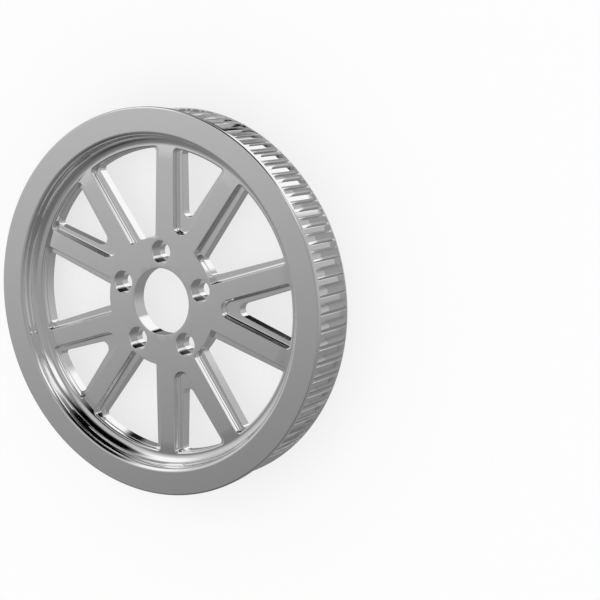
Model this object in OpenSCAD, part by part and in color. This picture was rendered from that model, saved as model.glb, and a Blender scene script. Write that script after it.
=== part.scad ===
/* [Rim] */
// Outer diameter of the front flange
rim_d = 320; // [300:0.5:340]
// Inner diameter where the round of the front lip ends
lip_d = 274.2; // [260:0.1:285]
// Radius of the round on the front lip
lip_round = 3.5; // [1:0.1:5]
// Radius of the hollow fillet between that lip's wall and the web
foot_r = 7.8; // [4:0.1:9]
// Chamfer on the outer corners of the rim
rim_chamfer = 0.7; // [0.2:0.1:2]
// Inner diameter of the rim at its back edge
back_d = 288; // [280:0.5:294]
// Lean of the back cavity wall, as a change of radius
back_draft = 1.5; // [0.5:0.1:4]
// Radius of the fillet between the back cavity and the web
back_fillet = 6; // [2:0.1:10]

/* [Teeth] */
// Number of belt teeth
teeth = 70; // [40:1:90]
// Belt pitch along the pitch line
pitch = 14; // [8:1:20]
// Distance of the pitch line above the tooth lands
pitch_gap = 1.397; // [0.5:0.001:2]
// Clear width between the two flanges, for the belt
belt_w = 42.7; // [30:0.1:50]
// Thickness of the front flange at its edge
front_flange_t = 3.8; // [2:0.1:6]
// Widening of the belt channel at the edge of the front flange
flange_flare = 0.6; // [0.1:0.1:2]
// Depth of each tooth hollow at its middle, below the lands
hollow_depth = 5.5; // [4:0.1:6.5]
// Radius of the rounded floor of each hollow
hollow_r = 8; // [6:0.1:12]
// Width of each hollow at its mouth, between the lands
mouth_w = 9.6; // [9:0.1:11]
// Width of each hollow between its leaning walls, at the depth of its middle
foot_w = 7.4; // [6:0.1:8.6]
// Turn of the first hollow from the X axis, as a part of the pitch
tooth_turn = 0.61; // [0:0.01:1]
// Diameter of the back flange
back_flange_d = 315.2; // [311:0.1:322]
// Thickness of the back flange
back_flange_t = 1.4; // [1:0.1:5]
// Chamfer on both corners of the back flange
back_chamfer = 0.3; // [0.1:0.05:0.45]

/* [Web] */
// Depth of the web face below the front face of the rim
web_drop = 14.35; // [8:0.05:20]
// Thickness of the web and hub
web_t = 13.8; // [8:0.1:20]

/* [Windows] */
// Number of spoke pairs
pairs = 5; // [3:1:8]
// Lean of each spoke from the middle of its pair
spoke_lean = 18; // [10:0.5:25]
// Distance of the inner edge of a spoke from the centre
pair_edge = 13.1; // [8:0.1:20]
// Distance of the outer edge of a spoke from the centre
gap_edge = 1.9; // [0:0.1:8]
// Radius at the point of the pocket between a pair
point_r = 7.9; // [5:0.1:12]
// Outer diameter of the windows
window_d = 253.6; // [240:0.1:256]
// Radius in the outer corners of the windows
corner_r = 3; // [1:0.1:6]
// Inner diameter of the wide windows, round the hub
hub_d = 107; // [90:0.5:120]
// Radius in the inner corners of the wide windows
hub_corner_r = 2; // [0.5:0.1:5]
// Depth of the ledge along each spoke
ledge_depth = 5; // [2:0.1:8]
// Width of the ledge at the outer end of a pair's window
ledge_w = 5.2; // [3:0.1:9]
// Width of the ledge half way along a wide window
gap_ledge_w = 6.3; // [3:0.1:9]
// Width of the small step at the outer and inner ends of the windows
end_step = 0.5; // [0.1:0.1:2]
// Extra lean of the openings inside the ledges
slot_lean = 1.2; // [0:0.1:3]
// Radius at the point of the opening between a pair
slot_r = 5.5; // [2:0.1:10]

/* [Hub] */
// Diameter of the bore
bore_d = 55.9; // [40:0.1:70]
// Diameter of the bolt circle
bolt_circle_d = 82.55; // [70:0.01:95]
// Number of bolts
bolts = 5; // [3:1:8]
// Diameter of the bolt holes
bolt_d = 11.5; // [8:0.1:14]
// Diameter of the counterbores
cbore_d = 19; // [14:0.1:24]
// Depth of the counterbores
cbore_depth = 6.5; // [3:0.1:10]
// Chamfer on the bore edges
bore_chamfer = 0.4; // [0.1:0.1:1.5]

/* [Hidden] */
$fn = 128;
// Clear reach of a cutter past the surface it opens
past = 1;
// Straight steps that stand for the round corners, points and ends of the windows
corner_steps = 4;
tip_steps = 12;
end_steps = 10;
// Turn between a corner round and the first point of the end beside it
end_gap = 0.8;

rim_r = rim_d / 2;
lip_r = lip_d / 2;
back_r = back_d / 2;
window_r = window_d / 2;
hub_r = hub_d / 2;
back_flange_r = back_flange_d / 2;
land_r = teeth * pitch / (2 * PI) - pitch_gap;
// Radius of the plain rim under the tooth hollows
core_r = land_r - hollow_depth - past;

// Total width of the rim along the axle
rim_w = back_flange_t + belt_w + flange_flare + front_flange_t;
web_z = rim_w - web_drop;
web_back = web_z - web_t;
front_z = back_flange_t + belt_w;
foot_z = web_z + foot_r;
ledge_z = web_z - ledge_depth;

// Turn from the middle of a spoke pair to the bolt hole beside it
quarter = 90 / pairs;

// Half of the rim and web, drawn as radius and height
module section() {
    difference() {
        union() {
            polygon([
                [bore_d / 2 + bore_chamfer, web_back],
                [back_r - back_draft - back_fillet, web_back],
                [back_r - back_draft, web_back - back_fillet],
                [back_r, rim_chamfer],
                [back_r + rim_chamfer, 0],
                [back_flange_r - back_chamfer, 0],
                [back_flange_r, back_chamfer],
                [back_flange_r, back_flange_t - back_chamfer],
                [back_flange_r - back_chamfer, back_flange_t],
                [core_r, back_flange_t],
                [core_r, front_z],
                [land_r, front_z],
                [rim_r, front_z + flange_flare],
                [rim_r, rim_w - rim_chamfer],
                [rim_r - rim_chamfer, rim_w],
                [lip_r + lip_round, rim_w],
                [lip_r, rim_w - lip_round],
                [lip_r, foot_z],
                [lip_r - foot_r, web_z],
                [bore_d / 2 + bore_chamfer, web_z],
                [bore_d / 2, web_z - bore_chamfer],
                [bore_d / 2, web_back + bore_chamfer]
            ]);
            translate([lip_r + lip_round, rim_w - lip_round])
                circle(lip_round);
        }
        translate([lip_r - foot_r, foot_z])
            circle(foot_r);
        translate([back_r - back_draft - back_fillet, web_back - back_fillet])
            circle(back_fillet);
    }
}

// Hollow between two belt teeth, with its middle along X
module hollow() {
    slope = (mouth_w - foot_w) / 2 / hollow_depth;
    low_w = foot_w / 2 - past * slope;
    intersection() {
        translate([land_r - hollow_depth + hollow_r, 0])
            circle(hollow_r);
        polygon([
            [core_r, -low_w],
            [land_r, -mouth_w / 2],
            [land_r + past, -mouth_w / 2],
            [land_r + past, mouth_w / 2],
            [land_r, mouth_w / 2],
            [core_r, low_w]
        ]);
    }
}

// Ring of teeth between the flanges, seen along the axle
module tooth_ring() {
    difference() {
        circle(land_r);
        circle(core_r - past);
        for (i = [0:teeth - 1])
            rotate((i + tooth_turn) * 360 / teeth)
                hollow();
    }
}

// Points along an arc round a centre, in equal steps
function arc(x, y, r, from, to, steps) =
    [for (i = [0:steps]) let (a = from + (to - from) * i / steps) [x + r * cos(a), y + r * sin(a)]];

// Turn of the centre of a corner round that touches the side line of a window, at a distance k from the axle
function corner_turn(lean, edge, r, k) = lean - asin((edge + r) / k);

// Outer end of a window, from its right side round to its left
function outer_end(lean, edge, outer) =
    let (k = outer - corner_r)
    let (turn = corner_turn(lean, edge, corner_r, k))
    concat(
        arc(k * sin(turn), k * cos(turn), corner_r, -lean, 90 - turn, corner_steps),
        arc(0, 0, outer, 90 - turn + end_gap, 90 + turn - end_gap, end_steps),
        arc(-k * sin(turn), k * cos(turn), corner_r, 90 + turn, 180 + lean, corner_steps)
    );

// Window between the two spokes of a pair, with its middle along Y
module pair_shape(lean, edge, tip_r, inset) {
    tip_y = (tip_r + edge) / sin(lean);
    polygon(concat(
        outer_end(lean, edge, window_r - inset),
        arc(0, tip_y, tip_r, 180 + lean, 360 - lean, tip_steps)
    ));
}

// Wide window between two spoke pairs, with its middle along Y
module gap_shape(lean, edge, inset) {
    inner = hub_r + inset;
    k = inner + hub_corner_r;
    turn = corner_turn(lean, edge, hub_corner_r, k);
    x = k * sin(turn);
    y = k * cos(turn);
    polygon(concat(
        outer_end(lean, edge, window_r - inset),
        arc(-x, y, hub_corner_r, 180 + lean, 270 + turn, corner_steps),
        arc(0, 0, inner, 90 + turn - end_gap, 90 - turn + end_gap, end_steps),
        arc(x, y, hub_corner_r, 270 - turn, 360 - lean, corner_steps)
    ));
}

// Distance of a slot's side line from the centre, for a ledge of width w at a height y up the window
function slot_edge(edge, w, y) =
    y * sin(spoke_lean + slot_lean)
    - (y * sin(spoke_lean) - edge - w) / cos(spoke_lean) * cos(spoke_lean + slot_lean);

module windows() {
    pair_slot = slot_edge(pair_edge, ledge_w, window_r);
    gap_slot = slot_edge(gap_edge, gap_ledge_w, (window_r + hub_r) / 2);
    for (i = [0:pairs - 1])
        rotate([0, 0, i * 360 / pairs]) {
            rotate([0, 0, -quarter]) {
                translate([0, 0, ledge_z])
                    linear_extrude(web_drop)
                        pair_shape(spoke_lean, pair_edge, point_r, 0);
                translate([0, 0, web_back - past])
                    linear_extrude(web_t)
                        pair_shape(spoke_lean + slot_lean, pair_slot, slot_r, end_step);
            }
            rotate([0, 0, quarter]) {
                translate([0, 0, ledge_z])
                    linear_extrude(web_drop)
                        gap_shape(spoke_lean, gap_edge, 0);
                translate([0, 0, web_back - past])
                    linear_extrude(web_t)
                        gap_shape(spoke_lean + slot_lean, gap_slot, end_step);
            }
        }
}

module bolt_holes() {
    for (i = [0:bolts - 1])
        rotate([0, 0, i * 360 / bolts])
            translate([0, bolt_circle_d / 2, 0]) {
                translate([0, 0, web_back - past])
                    cylinder(h = web_t + 2 * past, d = bolt_d);
                translate([0, 0, web_z - cbore_depth])
                    cylinder(h = cbore_depth + past, d = cbore_d);
            }
}

module pulley() {
    color("silver")
        difference() {
            union() {
                rotate_extrude()
                    section();
                translate([0, 0, back_flange_t])
                    linear_extrude(belt_w)
                        tooth_ring();
            }
            windows();
            bolt_holes();
        }
}

pulley();
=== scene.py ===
# %% [markdown]
# # A chromed belt pulley
#
# The part is the rear drive pulley of a motorcycle: one billet of aluminium, turned and milled, then
# plated with chrome. Chrome has almost no colour of its own. What the eye reads is the room in its
# curves, so this lesson spends its effort on two things: surfaces whose rounds and hollows are truly
# there, and a room worth mirroring.

import math

import bmesh
import bpy
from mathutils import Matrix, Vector
from mathutils.geometry import delaunay_2d_cdt


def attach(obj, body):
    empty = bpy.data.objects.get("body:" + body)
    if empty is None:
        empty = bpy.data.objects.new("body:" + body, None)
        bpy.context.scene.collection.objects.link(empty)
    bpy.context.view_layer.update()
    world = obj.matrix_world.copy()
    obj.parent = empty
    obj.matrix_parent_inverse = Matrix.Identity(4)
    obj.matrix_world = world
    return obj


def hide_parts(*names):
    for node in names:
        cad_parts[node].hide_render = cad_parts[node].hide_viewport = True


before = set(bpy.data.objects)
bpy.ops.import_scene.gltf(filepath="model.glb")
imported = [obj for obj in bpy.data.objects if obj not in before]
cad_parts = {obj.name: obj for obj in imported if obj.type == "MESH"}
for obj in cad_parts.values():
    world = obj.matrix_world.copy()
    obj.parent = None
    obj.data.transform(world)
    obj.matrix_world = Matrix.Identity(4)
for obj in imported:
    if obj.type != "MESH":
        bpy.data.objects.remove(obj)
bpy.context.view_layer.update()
MM = 0.001

# %% [markdown]
# ## Sizes
#
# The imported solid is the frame, and the finished skin has to lie on it. So the sizes are those of the
# solid, in millimetres, with the axle along Z and the rim's back edge at zero.

# %% Sizes of the rim and the teeth
RIM_R = 160.0
RIM_W = 48.5
LIP_R = 137.1
LIP_ROUND = 3.5
FOOT_ROUND = 7.8
RIM_EDGE = 0.7
BACK_R = 144.0
BACK_DRAFT = 1.5
BACK_FILLET = 6.0
TEETH = 70
PITCH = 14.0
PITCH_GAP = 1.397
LAND_R = TEETH * PITCH / (2 * math.pi) - PITCH_GAP
FRONT_FLANGE_T = 3.8
FLANGE_FLARE = 0.6
FLANGE_FACE_Z = RIM_W - FRONT_FLANGE_T
BELT_TOP_Z = FLANGE_FACE_Z - FLANGE_FLARE
BELT_LOW_Z = 1.4
BACK_FLANGE_R = 157.6
BACK_EDGE = 0.35
FRONT_EDGE = 1.3
HOLLOW_DEPTH = 5.5
HOLLOW_R = 8.0
WALL_LEAN = math.radians(80)
FLOOR_LEAN = math.radians(25)
MOUTH_ROUND = 0.75
FLOOR_ROUND = 0.9
TOOTH_TURN = 0.61
# Width of the flat strips that join the toothed band to the turned faces
STRIP = 0.3
# Height of the flange faces' inner rows over the lands
FACE_GAP = 0.02

# %% Sizes of the web, the windows and the hub
WEB_DROP = 14.35
WEB_T = 13.8
LEDGE_DEPTH = 5.0
WEB_Z = RIM_W - WEB_DROP
WEB_BACK = WEB_Z - WEB_T
LEDGE_Z = WEB_Z - LEDGE_DEPTH
PAIRS = 5
LEAN = math.radians(18)
PAIR_EDGE = 13.1
GAP_EDGE = 1.9
POINT_R = 7.9
WINDOW_R = 126.8
CORNER_R = 3.0
HUB_R = 53.5
HUB_CORNER_R = 2.0
LEDGE_W = 5.2
GAP_LEDGE_W = 6.3
SLOT_LEAN = LEAN + math.radians(1.2)
SLOT_POINT_R = 5.5
END_STEP = 0.5
BORE_R = 27.95
BORE_EDGE = 0.4
BOLT_CIRCLE_R = 41.275
BOLT_R = 5.75
CBORE_R = 9.5
CBORE_DEPTH = 6.5
EDGE = 0.45
END_EDGE = 1.6
CROWN_R = 117.0
CROWN_LEAN = math.radians(6.5)
SLOT_ROUND = 0.3
COVE = 2.5
HOLE_EDGE = 0.3
# Where the middle point of a small two-step edge lies, as a share of the edge's width
BULGE = 0.3

# %% Steps in the rounds, and distances for joining points
STEPS_ROUND = 360
FLOOR_STEPS, WALL_FOOT_STEPS, MOUTH_STEPS = 6, 4, 6
FRONT_EDGE_STEPS, BACK_EDGE_STEPS = 5, 2
LIP_STEPS, FOOT_STEPS = 18, 25
FILLET_STEPS, BACK_CORNER_STEPS = 8, 4
CORNER_STEPS, OUTER_STEPS, SIDE_STEPS, TIP_STEPS = 10, 36, 20, 28
HUB_CORNER_STEPS, HUB_STEPS = 8, 24
TOP_EDGE_STEPS, COVE_STEPS, SMALL_EDGE_STEPS = 5, 8, 3
BORE_STEPS, BOLT_STEPS, BORDER_STEPS = 48, 64, 14
CROWN_ROWS = 9
WELD = 0.004
FINE_WELD = 0.0005
NEAR_RING = 0.002
print("lands at radius", round(LAND_R, 2))

# %% [markdown]
# ## Helpers for sections
#
# A turned surface is a section swept round the axle, and a milled edge is a section swept along an
# outline. Both need arcs, and both are rows of points joined into bands of faces. These few helpers do
# all of it.


# %% Helpers for sections
def arc(x, y, r, start, end, steps):
    """Points along an arc, from one angle to another, in radians."""
    turn = [start + (end - start) * i / steps for i in range(steps + 1)]
    return [(x + r * math.cos(a), y + r * math.sin(a)) for a in turn]


def quarter_turns(steps):
    return [math.pi / 2 * i / steps for i in range(steps + 1)]


def ring(bm, r, z, angles):
    """A row of vertices round the axle, at one radius and height."""
    return [bm.verts.new((r * math.cos(a), r * math.sin(a), z)) for a in angles]


def band(bm, low, high, closed=True):
    """Quads between two rows of the same length."""
    count = len(low)
    for i in range(count if closed else count - 1):
        j = (i + 1) % count
        quad = [low[i], low[j], high[j], high[i]]
        if len(set(quad)) == 4:
            bm.faces.new(quad)


def loft(bm, rows, closed=True):
    for low, high in zip(rows, rows[1:]):
        band(bm, low, high, closed)


def plain_mesh(bm, name, weld=WELD):
    """Welds what meets, turns the faces outwards and makes an object of it."""
    bmesh.ops.remove_doubles(bm, verts=bm.verts, dist=weld)
    bmesh.ops.recalc_face_normals(bm, faces=bm.faces)
    mesh = bpy.data.meshes.new(name)
    bm.to_mesh(mesh)
    bm.free()
    thing = bpy.data.objects.new(name, mesh)
    bpy.context.scene.collection.objects.link(thing)
    print(name, len(mesh.vertices), "vertices", len(mesh.polygons), "faces")
    return thing


CROWN_END = LIP_R - FOOT_ROUND * (1 + math.sin(CROWN_LEAN))


def web_top(r):
    """Height of the web's face, which falls away a little just before the rim."""
    past = max(0, r - CROWN_R)
    return WEB_Z - math.tan(CROWN_LEAN) * past**2 / 2 / (CROWN_END - CROWN_R)


# %% [markdown]
# ## Repeating with Geometry Nodes
#
# The pulley has one tooth seventy times and one fifth of a web five times. A lathe operator indexes the
# part and cuts again. The tree below does the same: it puts a copy of its input on each of a ring of
# points, turns each copy by its own share of a full turn, realises the copies and welds their shared
# borders.


# %% A tree that repeats a piece round the axle
def repeat_tree():
    tree = bpy.data.node_groups.new("repeat round the axle", "GeometryNodeTree")
    face = tree.interface
    face.new_socket("Geometry", in_out="INPUT", socket_type="NodeSocketGeometry")
    face.new_socket("Count", in_out="INPUT", socket_type="NodeSocketInt")
    face.new_socket("Weld", in_out="INPUT", socket_type="NodeSocketFloat")
    face.new_socket("Finish", in_out="INPUT", socket_type="NodeSocketMaterial")
    face.new_socket("Geometry", in_out="OUTPUT", socket_type="NodeSocketGeometry")
    add = tree.nodes.new
    link = tree.links.new
    given, result = add("NodeGroupInput"), add("NodeGroupOutput")
    points, index = add("GeometryNodePoints"), add("GeometryNodeInputIndex")
    share, angle = add("ShaderNodeMath"), add("ShaderNodeMath")
    share.operation, angle.operation = "DIVIDE", "MULTIPLY"
    share.inputs[0].default_value = 2 * math.pi
    turn = add("ShaderNodeCombineXYZ")
    copies = add("GeometryNodeInstanceOnPoints")
    real, weld = add("GeometryNodeRealizeInstances"), add("GeometryNodeMergeByDistance")
    finish = add("GeometryNodeSetMaterial")
    link(given.outputs["Count"], points.inputs["Count"])
    link(given.outputs["Count"], share.inputs[1])
    link(index.outputs[0], angle.inputs[0])
    link(share.outputs[0], angle.inputs[1])
    link(angle.outputs[0], turn.inputs["Z"])
    link(points.outputs[0], copies.inputs["Points"])
    link(given.outputs["Geometry"], copies.inputs["Instance"])
    link(turn.outputs[0], copies.inputs["Rotation"])
    link(copies.outputs[0], real.inputs[0])
    link(real.outputs[0], weld.inputs["Geometry"])
    link(given.outputs["Weld"], weld.inputs["Distance"])
    link(weld.outputs["Geometry"], finish.inputs["Geometry"])
    link(given.outputs["Finish"], finish.inputs["Material"])
    link(finish.outputs[0], result.inputs[0])
    return tree


ROUND_TREE = repeat_tree()


def repeated(piece, count, finish, name):
    """The piece repeated round the axle, as a plain mesh object. The single piece is removed."""
    step = piece.modifiers.new("repeat", "NODES")
    step.node_group = ROUND_TREE
    sockets = {s.name: s.identifier for s in ROUND_TREE.interface.items_tree if s.in_out == "INPUT"}
    step[sockets["Count"]] = count
    step[sockets["Weld"]] = WELD
    step[sockets["Finish"]] = finish
    ready = piece.evaluated_get(bpy.context.evaluated_depsgraph_get())
    mesh = bpy.data.meshes.new_from_object(ready)
    bpy.data.objects.remove(piece)
    thing = bpy.data.objects.new(name, mesh)
    bpy.context.scene.collection.objects.link(thing)
    print(name, "repeated", count, "times,", len(mesh.polygons), "faces")
    return thing


# %% [markdown]
# ## Chrome
#
# Bright chrome mirrors nearly all that falls on it, slightly blue-grey, with a polish that only blurs the
# sharpest edges. It is a metal with a very low roughness. Real plating over a milled billet is never
# quite even, so a faint, broad noise moves the roughness by a hair.


# %% Chrome
CHROME_COLOUR = (0.93, 0.93, 0.935, 1)
CLOUD_SCALE = 35.0
CLOUD_DETAIL = 2.0
SMOOTHEST, ROUGHEST = 0.035, 0.06


def chrome_finish():
    finish = bpy.data.materials.new("chrome")
    finish.use_nodes = True
    nodes, link = finish.node_tree.nodes, finish.node_tree.links.new
    shader = nodes["Principled BSDF"]
    shader.inputs["Metallic"].default_value = 1.0
    shader.inputs["Base Color"].default_value = CHROME_COLOUR
    place = nodes.new("ShaderNodeTexCoord")
    cloud = nodes.new("ShaderNodeTexNoise")
    cloud.inputs["Scale"].default_value = CLOUD_SCALE
    cloud.inputs["Detail"].default_value = CLOUD_DETAIL
    level = nodes.new("ShaderNodeMapRange")
    level.inputs["To Min"].default_value = SMOOTHEST
    level.inputs["To Max"].default_value = ROUGHEST
    link(place.outputs["Object"], cloud.inputs["Vector"])
    link(cloud.outputs["Fac"], level.inputs["Value"])
    link(level.outputs["Result"], shader.inputs["Roughness"])
    return finish


CHROME = chrome_finish()

# %% [markdown]
# ## The toothed band
#
# The belt runs between two flanges, on lands parted by hollows with steep walls and a wide, gently
# rounded floor. One pitch of the band is a loft: every row follows the same steps round the axle, from
# the edge of the front face, over the front flange, along the tooth and over the thin, flat back flange.
# Only the two rows at the ends of the belt channel follow the tooth's outline.


# %% One pitch of the toothed band
def tooth_outline():
    """One pitch as (turn, radius) steps: land, round, steep wall, hollow floor, and back."""
    floor = [(HOLLOW_R * math.sin(t), HOLLOW_DEPTH - HOLLOW_R * (1 - math.cos(t)))
             for t in [FLOOR_LEAN * i / FLOOR_STEPS for i in range(FLOOR_STEPS + 1)]]
    x, depth = floor[-1]
    rise = WALL_LEAN - FLOOR_LEAN
    bend = [FLOOR_LEAN + rise * i / WALL_FOOT_STEPS for i in range(1, WALL_FOOT_STEPS + 1)]
    foot = [(x + FLOOR_ROUND * (math.sin(t) - math.sin(FLOOR_LEAN)),
             depth - FLOOR_ROUND * (math.cos(FLOOR_LEAN) - math.cos(t))) for t in bend]
    drop = MOUTH_ROUND * (1 - math.cos(WALL_LEAN))
    x, depth = foot[-1]
    x += (depth - drop) / math.tan(WALL_LEAN)
    mouth = [(x + MOUTH_ROUND * (math.sin(WALL_LEAN) - math.sin(t)), MOUTH_ROUND * (1 - math.cos(t)))
             for t in [WALL_LEAN * (1 - i / MOUTH_STEPS) for i in range(MOUTH_STEPS + 1)]]
    upper = [(x / LAND_R, LAND_R - depth) for x, depth in floor + foot + mouth]
    lower = [(-a, r) for a, r in reversed(upper[1:])]
    edge = math.pi / TEETH
    return [(-edge, LAND_R), *lower, *upper, (edge, LAND_R)]


def tooth_pitch():
    bm = bmesh.new()
    start = TOOTH_TURN * 2 * math.pi / TEETH
    steps = [(a + start, r) for a, r in tooth_outline()]
    angles = [a for a, _ in steps]
    follow = [r for _, r in steps]
    edge = [(RIM_R - FRONT_EDGE + FRONT_EDGE * math.sin(t), RIM_W - FRONT_EDGE + FRONT_EDGE * math.cos(t))
            for t in quarter_turns(FRONT_EDGE_STEPS)]
    rows = [ring(bm, r, z, angles) for r, z in edge]
    rows.append(ring(bm, RIM_R, FLANGE_FACE_Z, angles))
    rows.append(ring(bm, LAND_R + FACE_GAP, BELT_TOP_Z, angles))
    for z in (BELT_TOP_Z, BELT_LOW_Z):
        rows.append([bm.verts.new((r * math.cos(a), r * math.sin(a), z)) for a, r in zip(angles, follow)])
    rows.append(ring(bm, LAND_R + FACE_GAP, BELT_LOW_Z, angles))
    inner = BACK_FLANGE_R - BACK_EDGE
    for t in quarter_turns(BACK_EDGE_STEPS):
        z = BELT_LOW_Z - BACK_EDGE * (1 - math.cos(t))
        rows.append(ring(bm, inner + BACK_EDGE * math.sin(t), z, angles))
    for t in quarter_turns(BACK_EDGE_STEPS):
        rows.append(ring(bm, inner + BACK_EDGE * math.cos(t), BACK_EDGE * (1 - math.sin(t)), angles))
    loft(bm, rows, closed=False)
    return plain_mesh(bm, "one_tooth_pitch", weld=FINE_WELD)


teeth = repeated(tooth_pitch(), TEETH, CHROME, "toothed_band")

# %% [markdown]
# ## The turned inside of the rim
#
# From the flat front ring a lathe tool ran over a round lip, down a short wall and through a wide hollow
# foot, until it met the flat face of the spokes. The back is a plain cavity with a fillet at the web. All
# of it is one section swept round the axle, so it is lofted in one go.


# %% The turned inside of the rim
def turn_of(count):
    return [2 * math.pi * i / count for i in range(count)]


def front_section():
    """Radius and height from the edge of the front ring to the web."""
    section = [(RIM_R - FRONT_EDGE - STRIP, RIM_W)]
    section += arc(LIP_R + LIP_ROUND, RIM_W - LIP_ROUND, LIP_ROUND, math.pi / 2, math.pi, LIP_STEPS)
    foot_z = web_top(CROWN_END) + FOOT_ROUND * math.cos(CROWN_LEAN)
    section += arc(LIP_R - FOOT_ROUND, foot_z, FOOT_ROUND, 0, -math.pi / 2 - CROWN_LEAN, FOOT_STEPS)
    return section


def back_section():
    """Radius and height from the web's back to the outer edge of the back face."""
    inner = BACK_R - BACK_DRAFT
    section = arc(inner - BACK_FILLET, WEB_BACK - BACK_FILLET, BACK_FILLET, math.pi / 2, 0, FILLET_STEPS)
    section += [(BACK_R, RIM_EDGE)]
    section += arc(BACK_R + RIM_EDGE, RIM_EDGE, RIM_EDGE, math.pi, 1.5 * math.pi, BACK_CORNER_STEPS)[1:]
    section += [(BACK_FLANGE_R - BACK_EDGE - STRIP, 0)]
    return section


def turned_rim():
    bm = bmesh.new()
    angles = turn_of(STEPS_ROUND)
    for section in (front_section(), back_section()):
        loft(bm, [ring(bm, r, z, angles) for r, z in section])
    return plain_mesh(bm, "turned_rim")


rim = turned_rim()

# %% [markdown]
# ## One fifth of the web
#
# Each fifth holds one window between a pair of spokes, one wide window between two pairs, and one bolt
# hole. A window is milled twice: a shallow pocket with a ball-nosed cutter, which leaves a ledge with a
# hollow corner, and a through cut inside it. Each edge is a small section swept along the window's
# outline, and the flat faces between the outlines are filled by a Delaunay triangulation, which keeps
# every outline point as it is. Towards the rim the faces of the spokes fall away by less than 0.7 mm,
# into the hollow foot.


# %% Outlines of the windows
def corner_turn(lean, edge, r, k):
    return lean - math.asin((edge + r) / k)


def straight(a, b, steps):
    """Points between two places, without the ends."""
    return [(a[0] + (b[0] - a[0]) * i / steps, a[1] + (b[1] - a[1]) * i / steps) for i in range(1, steps)]


# Radius of the hollow corner on the ledge and of the top edge, along the sides and at both ends of a window
END_COVE = 0.08
SIDE = (COVE, EDGE)
END = (END_COVE, END_EDGE)
HUB_END = (END_COVE, EDGE)


def formed(points, form):
    """Outline points with the radii of the hollow corner and of the top edge there."""
    return [(x, y, *form) for x, y in points]


def easing(points, start, end):
    last = len(points) - 1
    mixed = [[a + (b - a) * (i / last) for a, b in zip(start, end)] for i in range(len(points))]
    return [(x, y, *form) for (x, y), form in zip(points, mixed)]


def outer_end(lean, edge, outer):
    """Right corner, end and left corner of a window."""
    k = outer - CORNER_R
    turn = corner_turn(lean, edge, CORNER_R, k)
    x, y = k * math.sin(turn), k * math.cos(turn)
    half = math.pi / 2
    right = easing(arc(x, y, CORNER_R, -lean, half - turn, CORNER_STEPS), SIDE, END)
    end = formed(arc(0, 0, outer, half - turn, half + turn, OUTER_STEPS)[1:-1], END)
    left = easing(arc(-x, y, CORNER_R, half + turn, math.pi + lean, CORNER_STEPS), END, SIDE)
    return right + end + left


def closed_outline(end, base):
    """Joins the outer end and the base of a window by its two straight sides."""
    left = straight(end[-1], base[0], SIDE_STEPS)
    right = straight(base[-1], end[0], SIDE_STEPS)
    return end + formed(left, SIDE) + base + formed(right, SIDE)


def pair_outline(lean, edge, tip_r, inset):
    tip_y = (tip_r + edge) / math.sin(lean)
    tip = formed(arc(0, tip_y, tip_r, math.pi + lean, 2 * math.pi - lean, TIP_STEPS), SIDE)
    return closed_outline(outer_end(lean, edge, WINDOW_R - inset), tip)


def gap_outline(lean, edge, inset):
    inner = HUB_R + inset
    k = inner + HUB_CORNER_R
    turn = corner_turn(lean, edge, HUB_CORNER_R, k)
    x, y = k * math.sin(turn), k * math.cos(turn)
    half = math.pi / 2
    down = 1.5 * math.pi
    left = easing(arc(-x, y, HUB_CORNER_R, math.pi + lean, down + turn, HUB_CORNER_STEPS), SIDE, HUB_END)
    end = formed(arc(0, 0, inner, half + turn, half - turn, HUB_STEPS)[1:-1], HUB_END)
    right = easing(arc(x, y, HUB_CORNER_R, down - turn, 2 * math.pi - lean, HUB_CORNER_STEPS), HUB_END, SIDE)
    return closed_outline(outer_end(lean, edge, WINDOW_R - inset), left + end + right)


def slot_edge(edge, width, y):
    """Distance of an opening's side line from the axle, for a ledge of this width at the height y."""
    side = (y * math.sin(LEAN) - edge - width) / math.cos(LEAN)
    return y * math.sin(SLOT_LEAN) - side * math.cos(SLOT_LEAN)


PAIR_SLOT = slot_edge(PAIR_EDGE, LEDGE_W, WINDOW_R)
GAP_SLOT = slot_edge(GAP_EDGE, GAP_LEDGE_W, (WINDOW_R + HUB_R) / 2)
print("openings start", round(PAIR_SLOT, 2), "and", round(GAP_SLOT, 2), "mm from the axle")


# %% Sweeping an edge along an outline
def turned(points, angle):
    c, s = math.cos(angle), math.sin(angle)
    return [(x * c - y * s, x * s + y * c, *form) for x, y, *form in points]


def outward(points):
    """The direction from each outline point into the metal."""
    count = len(points)
    area = sum(points[i - 1][0] * points[i][1] - points[i][0] * points[i - 1][1] for i in range(count))
    way = 1 if area > 0 else -1
    normals = []
    for i in range(count):
        before, after = points[i - 1], points[(i + 1) % count]
        along = Vector((after[0] - before[0], after[1] - before[1])).normalized()
        normals.append(Vector((along.y, -along.x)) * way)
    return normals


def sweep(bm, points, normals, section):
    """Rows of vertices: each (out, z) of the section along the outline. Both may be functions of a point."""
    rows = []
    for out, z in section:
        row = []
        for p, n in zip(points, normals):
            o = out(p) if callable(out) else out
            x, y = p[0] + n.x * o, p[1] + n.y * o
            row.append(bm.verts.new((x, y, z(p, math.hypot(x, y)) if callable(z) else z)))
        rows.append(row)
    loft(bm, rows)
    return rows


def pocket_section():
    """Rounded top edge, wall, and the hollow corner on the ledge."""
    section = []
    for t in quarter_turns(TOP_EDGE_STEPS):
        section.append((lambda p, t=t: p[3] * (1 - math.sin(t)),
                        lambda p, r, t=t: web_top(r) - p[3] * (1 - math.cos(t))))
    for t in quarter_turns(COVE_STEPS):
        section.append((lambda p, t=t: -p[2] * (1 - math.cos(t)),
                        lambda p, r, t=t: LEDGE_Z + p[2] * (1 - math.sin(t))))
    return section


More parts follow.
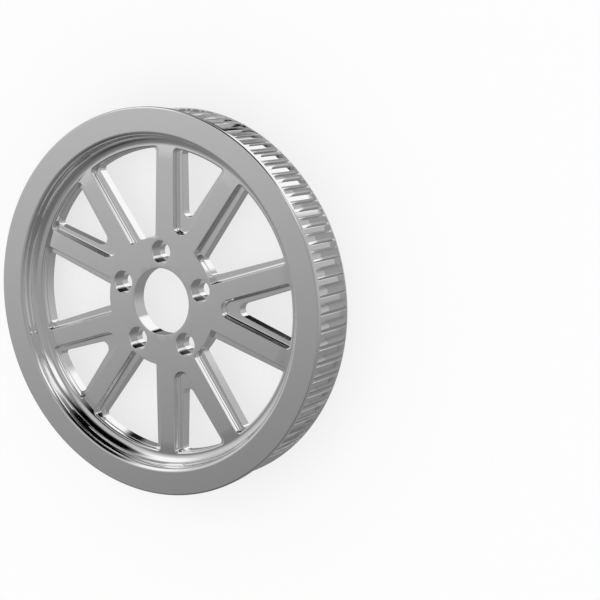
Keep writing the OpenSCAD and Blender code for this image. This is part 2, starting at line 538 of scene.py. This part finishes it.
def slot_section():
    """Rounded edge on the ledge, wall, and rounded edge at the back."""
    turns = quarter_turns(SMALL_EDGE_STEPS)
    section = [(SLOT_ROUND * (1 - math.sin(t)), LEDGE_Z - SLOT_ROUND * (1 - math.cos(t))) for t in turns]
    section += [(EDGE * (1 - math.cos(t)), WEB_BACK + EDGE * (1 - math.sin(t))) for t in turns]
    return section


# %% Filling a flat face between outlines
MEET = 1e-4


def filled(bm, outline, holes, inner=()):
    """Faces between an outer row and the rows of its holes, through inner vertices. All of them are kept."""
    known = list(outline) + [v for h in holes for v in h] + list(inner)
    flat = [Vector((v.co.x, v.co.y)) for v in known]
    edges, start = [], 0
    for row in [outline, *holes]:
        count = len(row)
        edges += [(start + i, start + (i + 1) % count) for i in range(count)]
        start += count
    places, _, faces, origin, _, _ = delaunay_2d_cdt(flat, edges, [], 0, MEET)
    verts = [known[came_from[0]] for came_from in origin]
    rims = [[(v.co.x, v.co.y) for v in row] for row in [outline, *holes]]
    for f in faces:
        x = sum(places[i].x for i in f) / len(f)
        y = sum(places[i].y for i in f) / len(f)
        if inside(x, y, rims[0]) and not any(inside(x, y, rim) for rim in rims[1:]):
            trio = [verts[i] for i in f]
            if len(set(trio)) == 3 and bm.faces.get(trio) is None:
                bm.faces.new(trio)


def inside(x, y, loop):
    hit = False
    for (ax, ay), (bx, by) in zip(loop, loop[1:] + loop[:1]):
        if (ay > y) != (by > y) and x < (bx - ax) * (y - ay) / (by - ay) + ax:
            hit = not hit
    return hit


# %% One fifth of the web
GAP_TURN = math.radians(90 / PAIRS)
PAIR_TURN = -GAP_TURN
START, FIFTH = math.radians(90 - 180 / PAIRS), math.radians(360 / PAIRS)
ARC_STEPS = STEPS_ROUND // PAIRS
CROWN_CLEAR = 0.5


def fifth_border(bm, outer_r, height):
    """Closed row round one fifth: out, round the rim, in along the other border, and round the bore."""
    def at(r, a):
        return bm.verts.new((r * math.cos(a), r * math.sin(a), height(r)))

    inner_r = BORE_R + BORE_EDGE
    radii = [inner_r + (outer_r - inner_r) * i / BORDER_STEPS for i in range(1, BORDER_STEPS)]
    first = [at(r, START) for r in radii]
    outer = [at(outer_r, START + FIFTH * i / ARC_STEPS) for i in range(ARC_STEPS + 1)]
    second = [at(r, START + FIFTH) for r in reversed(radii)]
    inner = [at(inner_r, START + FIFTH - FIFTH * i / BORE_STEPS) for i in range(BORE_STEPS + 1)]
    return first + outer + second + inner


def near_side(x, y, loop):
    """Distance of a place from the nearest side of a loop."""
    best = math.inf
    for (ax, ay), (bx, by) in zip(loop, loop[1:] + loop[:1]):
        dx, dy = bx - ax, by - ay
        t = max(0, min(1, ((x - ax) * dx + (y - ay) * dy) / (dx * dx + dy * dy + 1e-12)))
        best = min(best, math.hypot(x - ax - t * dx, y - ay - t * dy))
    return best


def crown_verts(bm, holes):
    """Vertices on the crowned ends of the spokes, clear of the windows."""
    rims = [[(v.co.x, v.co.y) for v in row] for row in holes]
    verts = []
    for i in range(1, CROWN_ROWS):
        r = CROWN_R + (CROWN_END - CROWN_R) * i / CROWN_ROWS
        for j in range(1, ARC_STEPS):
            a = START + FIFTH * j / ARC_STEPS
            x, y = r * math.cos(a), r * math.sin(a)
            if not any(inside(x, y, rim) or near_side(x, y, rim) < CROWN_CLEAR for rim in rims):
                verts.append(bm.verts.new((x, y, web_top(r))))
    return verts


def window(bm, pocket, slot):
    """The swept edges of one window and its ledge. Returns the top and the bottom rows."""
    top_rows = sweep(bm, pocket, outward(pocket), pocket_section())
    low_rows = sweep(bm, slot, outward(slot), slot_section())
    filled(bm, top_rows[-1], [low_rows[0]])
    return top_rows[0], low_rows[-1]


def bolt_hole(bm):
    """Counterbore and hole. Returns the top and the bottom rows."""
    middle = BULGE * HOLE_EDGE
    section = [(CBORE_R + HOLE_EDGE, WEB_Z), (CBORE_R + middle, WEB_Z - middle), (CBORE_R, WEB_Z - HOLE_EDGE),
               (CBORE_R, WEB_Z - CBORE_DEPTH), (BOLT_R, WEB_Z - CBORE_DEPTH), (BOLT_R, WEB_BACK)]
    rows = []
    for r, z in section:
        circle = arc(0, 0, r, 0, 2 * math.pi, BOLT_STEPS)[:-1]
        rows.append([bm.verts.new((x, BOLT_CIRCLE_R + y, z)) for x, y in circle])
    loft(bm, rows)
    return rows[0], rows[-1]


def web_fifth():
    bm = bmesh.new()
    pair = turned(pair_outline(LEAN, PAIR_EDGE, POINT_R, 0), PAIR_TURN)
    pair_slot = turned(pair_outline(SLOT_LEAN, PAIR_SLOT, SLOT_POINT_R, END_STEP), PAIR_TURN)
    gap = turned(gap_outline(LEAN, GAP_EDGE, 0), GAP_TURN)
    gap_slot = turned(gap_outline(SLOT_LEAN, GAP_SLOT, END_STEP), GAP_TURN)
    tops, lows = zip(window(bm, pair, pair_slot), window(bm, gap, gap_slot), bolt_hole(bm))
    filled(bm, fifth_border(bm, CROWN_END, web_top), tops, crown_verts(bm, tops[:2]))
    filled(bm, fifth_border(bm, BACK_R - BACK_DRAFT - BACK_FILLET, lambda r: WEB_BACK), lows)
    angles = [START + FIFTH * i / BORE_STEPS for i in range(BORE_STEPS + 1)]
    middle = BULGE * BORE_EDGE
    top = [(BORE_R + BORE_EDGE, WEB_Z), (BORE_R + middle, WEB_Z - middle), (BORE_R, WEB_Z - BORE_EDGE)]
    bore = top + [(r, WEB_BACK + (WEB_Z - z)) for r, z in reversed(top)]
    loft(bm, [ring(bm, r, z, angles) for r, z in bore], closed=False)
    return plain_mesh(bm, "one_fifth_of_the_web")


web = repeated(web_fifth(), PAIRS, CHROME, "web_and_hub")

# %% [markdown]
# ## One piece
#
# The real part has no joint anywhere, so the three skins become one closed mesh. The toothed band has its
# own number of points round the axle, so two flat rings of triangles join it to the turned surfaces:
# their points are merged in order of their turn. Flat faces keep the weight of their normals, so that
# mirrored lines stay straight right up to each round.


# %% Joining the skins
SHARP = math.radians(32)
FLAT_WEIGHT = 50


def by_turn(verts):
    return sorted(verts, key=lambda v: math.atan2(v.co.y, v.co.x))


def zip_rings(bm, first, second):
    """Triangles between two rings with different numbers of points."""
    a, b = by_turn(first), by_turn(second)

    def turn(row, i):
        place = row[i % len(row)].co
        return math.atan2(place.y, place.x) + (2 * math.pi if i >= len(row) else 0)

    i = j = 0
    while i < len(a) or j < len(b):
        if j >= len(b) or (i < len(a) and turn(a, i + 1) <= turn(b, j + 1)):
            bm.faces.new([a[i % len(a)], a[(i + 1) % len(a)], b[j % len(b)]])
            i += 1
        else:
            bm.faces.new([a[i % len(a)], b[(j + 1) % len(b)], b[j % len(b)]])
            j += 1


def at_ring(bm, r, z):
    level = [v for v in bm.verts if abs(v.co.z - z) < NEAR_RING]
    return [v for v in level if abs(math.hypot(v.co.x, v.co.y) - r) < NEAR_RING]


def one_piece(skins, name):
    bm = bmesh.new()
    for skin in skins:
        bm.from_mesh(skin.data)
        bpy.data.objects.remove(skin)
    bmesh.ops.remove_doubles(bm, verts=bm.verts, dist=WELD)
    for r, z in ((RIM_R - FRONT_EDGE, RIM_W), (BACK_FLANGE_R - BACK_EDGE, 0)):
        zip_rings(bm, at_ring(bm, r, z), at_ring(bm, r - STRIP, z))
    open_edges = sum(1 for e in bm.edges if len(e.link_faces) != 2)
    bmesh.ops.scale(bm, verts=bm.verts, vec=(MM, MM, MM))
    bmesh.ops.recalc_face_normals(bm, faces=bm.faces)
    for face in bm.faces:
        face.smooth = True
    for e in bm.edges:
        if len(e.link_faces) == 2 and e.calc_face_angle() > SHARP:
            e.smooth = False
    mesh = bpy.data.meshes.new(name)
    bm.to_mesh(mesh)
    bm.free()
    thing = bpy.data.objects.new(name, mesh)
    bpy.context.scene.collection.objects.link(thing)
    mesh.materials.append(CHROME)
    weigh = thing.modifiers.new("weigh the flat faces", "WEIGHTED_NORMAL")
    weigh.keep_sharp = True
    weigh.weight = FLAT_WEIGHT
    mesh.calc_loop_triangles()
    print(name, len(mesh.loop_triangles), "triangles,", open_edges, "open edges")
    return thing


pulley = one_piece([teeth, rim, web], "chromed_pulley")
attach(pulley, "root")
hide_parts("pulley")

# %% [markdown]
# ## The room
#
# A mirror shows its surroundings, so the room is part of the finish. Lamps alone would leave chrome black
# with a few bright spots, so the studio here is a world of large soft cards all round the part: grey
# walls, a darker one with a shade in it on the side where the turn is about -90 degrees, a ceiling with a
# light, two white screens, and between them one black screen that gives the curves their depth. Three
# cards under the horizon stand for the table. Each card is one use of a small node group. It takes the
# direction of a ray as a turn round the axle and a height over the horizon, both in degrees, and fades at
# its edges. Only glossy rays see the cards. All other rays see plain white.


# %% One soft card of the studio
def linear(tone):
    """Light level of a tone from 0 to 1 as the eye grades it."""
    return tone / 12.92 if tone < 0.04045 else ((tone + 0.055) / 1.055) ** 2.4


def card_group():
    group = bpy.data.node_groups.new("studio card", "ShaderNodeTree")
    names = ["Turn", "Height", "Middle turn", "Half width", "Width fade", "Middle height", "Half height",
             "Height fade", "Lean", "Level", "Behind"]
    for name in names:
        group.interface.new_socket(name, in_out="INPUT", socket_type="NodeSocketFloat")
    group.interface.new_socket("Level", in_out="OUTPUT", socket_type="NodeSocketFloat")
    given, result = group.nodes.new("NodeGroupInput"), group.nodes.new("NodeGroupOutput")

    def sum_of(kind, first, second):
        node = group.nodes.new("ShaderNodeMath")
        node.operation = kind
        for socket, value in zip(node.inputs, (first, second)):
            if isinstance(value, (int, float)):
                socket.default_value = value
            else:
                group.links.new(value, socket)
        return node.outputs[0]

    def cover(distance, half, fade):
        node = group.nodes.new("ShaderNodeMapRange")
        node.interpolation_type = "SMOOTHSTEP"
        group.links.new(distance, node.inputs["Value"])
        group.links.new(sum_of("SUBTRACT", half, fade), node.inputs["From Min"])
        group.links.new(sum_of("ADD", half, fade), node.inputs["From Max"])
        node.inputs["To Min"].default_value = 1.0
        node.inputs["To Max"].default_value = 0.0
        return node.outputs["Result"]

    at = given.outputs
    rise = sum_of("SUBTRACT", at["Height"], at["Middle height"])
    middle = sum_of("ADD", at["Middle turn"], sum_of("MULTIPLY", rise, at["Lean"]))
    aside = group.nodes.new("ShaderNodeMath")
    aside.operation = "WRAP"
    group.links.new(sum_of("SUBTRACT", at["Turn"], middle), aside.inputs[0])
    aside.inputs[1].default_value, aside.inputs[2].default_value = 180, -180
    across = cover(sum_of("ABSOLUTE", aside.outputs[0], 0), at["Half width"], at["Width fade"])
    upright = cover(sum_of("ABSOLUTE", rise, 0), at["Half height"], at["Height fade"])
    mix = group.nodes.new("ShaderNodeMix")
    group.links.new(sum_of("MULTIPLY", across, upright), mix.inputs["Factor"])
    group.links.new(at["Behind"], mix.inputs["A"])
    group.links.new(at["Level"], mix.inputs["B"])
    group.links.new(mix.outputs["Result"], result.inputs["Level"])
    return group


CARD = card_group()

# %% The studio round the part
WALL_TONE = 0.53
# Turn of the middle, half width, its fade; height of the middle, half height, its fade; lean; tone
CARDS = {
    "right wall": (15, 45, 40, 20, 60, 20, 0, 0.62),
    "lower wall": (-88, 55, 30, 26, 30, 14, 0, 0.41),
    "lower shade": (-112, 13, 10, 24, 12, 8, 0, 0.27),
    "left wall": (166, 25, 25, 40, 40, 15, 0, 0.80),
    "ceiling": (0, 400, 1, 90, 26, 10, 0, 0.60),
    "ceiling light": (140, 25, 20, 74, 12, 6, 0, 0.76),
    "table edge": (35, 50, 30, -70, 50, 15, 0, 0.72),
    "table light": (84, 33, 5, -50, 24, 6, 0, 1.0),
    "table shade": (126, 7, 4, -48, 12, 5, 0, 0.1),
    "left screen": (137, 14, 9, 30, 22, 8, 0.5, 1.0),
    "right screen": (47, 11, 6, 33, 23, 6, 0.3, 1.0),
    "black screen": (90, 25, 7, 26, 29, 6, 0.45, 0.0),
}


def studio():
    world = bpy.data.worlds.new("studio")
    bpy.context.scene.world = world
    world.use_nodes = True
    nodes, link = world.node_tree.nodes, world.node_tree.links.new
    way, split = nodes.new("ShaderNodeTexCoord"), nodes.new("ShaderNodeSeparateXYZ")
    link(way.outputs["Generated"], split.inputs[0])

    def degrees_of(kind, *values):
        angle, turn = nodes.new("ShaderNodeMath"), nodes.new("ShaderNodeMath")
        angle.operation, turn.operation = kind, "DEGREES"
        for socket, value in zip(angle.inputs, values):
            link(value, socket)
        link(angle.outputs[0], turn.inputs[0])
        return turn.outputs[0]

    turn = degrees_of("ARCTAN2", split.outputs["Y"], split.outputs["X"])
    height = degrees_of("ARCSINE", split.outputs["Z"])
    behind = None
    for name, (middle, half, fade, rise, tall, rise_fade, lean, tone) in CARDS.items():
        node = nodes.new("ShaderNodeGroup")
        node.node_tree, node.label = CARD, name
        link(turn, node.inputs["Turn"])
        link(height, node.inputs["Height"])
        sizes = {"Middle turn": middle, "Half width": half, "Width fade": fade, "Middle height": rise,
                 "Half height": tall, "Height fade": rise_fade, "Lean": lean, "Level": linear(tone)}
        for key, value in sizes.items():
            node.inputs[key].default_value = value
        node.inputs["Behind"].default_value = linear(WALL_TONE)
        if behind:
            link(behind, node.inputs["Behind"])
        behind = node.outputs["Level"]
    shown, plain = nodes["Background"], nodes.new("ShaderNodeBackground")
    link(behind, shown.inputs["Color"])
    path, mix = nodes.new("ShaderNodeLightPath"), nodes.new("ShaderNodeMixShader")
    link(path.outputs["Is Glossy Ray"], mix.inputs["Fac"])
    plain.inputs["Color"].default_value = (1, 1, 1, 1)
    link(plain.outputs[0], mix.inputs[1])
    link(shown.outputs[0], mix.inputs[2])
    link(mix.outputs[0], nodes["World Output"].inputs["Surface"])
    print("studio of", len(CARDS), "cards")


studio()

# %% [markdown]
# ## The floor
#
# The part lies on a white table, which keeps its soft shadow. For the camera the paint is mixed with
# plain light, so that the table is nearly white in the windows too. The chrome doesn't see the table
# itself but the studio's own lower cards, so that the teeth and the walls of the windows have something
# darker to mirror.


# %% The floor
FLOOR_SIZE = 6.0
FLOOR_DROP = 0.0002
FLOOR_SHINE = 0.7
FLOOR_COLOUR = (0.96, 0.96, 0.96, 1)


def white_table():
    finish = bpy.data.materials.new("white table")
    finish.use_nodes = True
    nodes, link = finish.node_tree.nodes, finish.node_tree.links.new
    paint = nodes["Principled BSDF"]
    paint.inputs["Base Color"].default_value = FLOOR_COLOUR
    paint.inputs["Roughness"].default_value = 1.0
    paint.inputs["Specular IOR Level"].default_value = 0.0
    shine, path = nodes.new("ShaderNodeEmission"), nodes.new("ShaderNodeLightPath")
    share, mix = nodes.new("ShaderNodeMath"), nodes.new("ShaderNodeMixShader")
    share.operation = "MULTIPLY"
    share.inputs[1].default_value = FLOOR_SHINE
    link(path.outputs["Is Camera Ray"], share.inputs[0])
    link(share.outputs[0], mix.inputs["Fac"])
    link(paint.outputs[0], mix.inputs[1])
    link(shine.outputs[0], mix.inputs[2])
    link(mix.outputs[0], nodes["Material Output"].inputs["Surface"])
    return finish


half = FLOOR_SIZE / 2
corners = [(x * half, y * half, -FLOOR_DROP) for x, y in ((-1, -1), (1, -1), (1, 1), (-1, 1))]
floor_mesh = bpy.data.meshes.new("floor")
floor_mesh.from_pydata(corners, [], [(0, 1, 2, 3)])
floor_mesh.materials.append(white_table())
floor = bpy.data.objects.new("floor", floor_mesh)
bpy.context.scene.collection.objects.link(floor)
floor.visible_glossy = False
print("floor", FLOOR_SIZE, "m wide")

# %% [markdown]
# ## The camera
#
# The circles of the rim, the bore and the bolt holes give the direction from which the photograph was
# taken. They fix the camera's distance only loosely, so its lens and its place are one good fit out of a
# range.

# %% The camera
LENS = 90.0
SENSOR_W = 36.0
NEAREST, FARTHEST = 0.05, 20
EYE = Vector((0.7330, 0.2109, 1.0138))
VIEW_TURN = (-9.368, 31.521, 0.651)
camera_data = bpy.data.cameras.new("camera")
camera = bpy.data.objects.new("camera", camera_data)
bpy.context.scene.collection.objects.link(camera)
bpy.context.scene.camera = camera
camera_data.lens = LENS
camera_data.sensor_width = SENSOR_W
camera_data.clip_start, camera_data.clip_end = NEAREST, FARTHEST
camera.location = EYE
camera.rotation_euler = [math.radians(a) for a in VIEW_TURN]
print("camera", round(EYE.length, 2), "m from the part")

# %% View settings
bpy.context.scene.view_settings.view_transform = "Standard"
